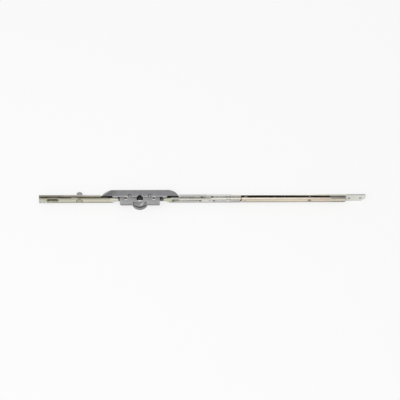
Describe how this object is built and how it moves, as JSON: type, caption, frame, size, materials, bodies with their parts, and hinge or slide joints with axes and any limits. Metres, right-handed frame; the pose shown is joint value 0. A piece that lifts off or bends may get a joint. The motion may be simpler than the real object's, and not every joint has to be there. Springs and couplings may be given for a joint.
{
  "type": "window espagnolette gear",
  "caption": "Flat rack-and-pinion window gear: a square spindle hub in a riveted case slides flat drive rods and a locking cam behind slim faceplates.",
  "frame": {"origin": "on the spindle axis, level with the handle face of the gear case, midway between the two handle screw holes", "axes": "+X along the drive rods towards the long right rod, +Y out of the faceplates towards the locking cam, +Z along the spindle towards the handle"},
  "size_m": [0.5017, 0.0269, 0.016],
  "materials": {
    "zinc_case": "die-cast zinc, satin grey",
    "cover_grey": "die-cast zinc, darker blue grey",
    "plated_strip": "zinc plated steel strip",
    "chromate_rod": "steel rod with a pale yellow chromate",
    "silver_rod": "zinc plated steel rod",
    "rivet_steel": "bright plated rivets and screws",
    "black_steel": "blackened sintered steel",
    "cam_steel": "plated steel roller"
  },
  "bodies": {
    "root": {"front_case": "zinc_case", "rear_case": "zinc_case", "rack_cover": "cover_grey", "case_rivets": "rivet_steel", "left_faceplate": "plated_strip", "faceplate_screws": "rivet_steel", "right_stub_faceplate": "plated_strip", "serrated_plate": "plated_strip", "lap_rivets": "rivet_steel", "right_faceplate": "plated_strip"},
    "hub": {"hub_pinion": "black_steel"},
    "slider": {"rack_slider": "zinc_case", "foot_rivets": "rivet_steel", "left_drive_rod": "chromate_rod", "left_end_shoe": "plated_strip", "shoe_rivet": "rivet_steel", "cam_pin": "rivet_steel", "right_gear_rod": "silver_rod", "rod_coupler": "silver_rod", "coupler_screw": "rivet_steel", "coupler_rivets": "rivet_steel", "right_drive_rod": "chromate_rod", "guide_rivet": "rivet_steel", "end_block": "cover_grey", "end_block_rivets": "rivet_steel"},
    "roller": {"cam_roller": "cam_steel"}
  },
  "joints": [
    {"name": "hub_turn", "type": "hinge", "parent": "root", "child": "hub", "pos_m": [0, 0, -0.005], "axis": [0, 0, 1], "range_deg": [0, 90]},
    {"name": "rod_slide", "type": "slide", "parent": "root", "child": "slider", "axis": [-1, 0, 0], "range_m": [0, 0.0106]},
    {"name": "cam_spin", "type": "hinge", "parent": "slider", "child": "roller", "pos_m": [-0.0929, 0.008, -0.005], "axis": [0, 1, 0], "continuous": true}
  ],
  "couplings": [
    {"joint": "hub_turn", "follows": "rod_slide", "rad_per_m": 148.15}
  ]
}
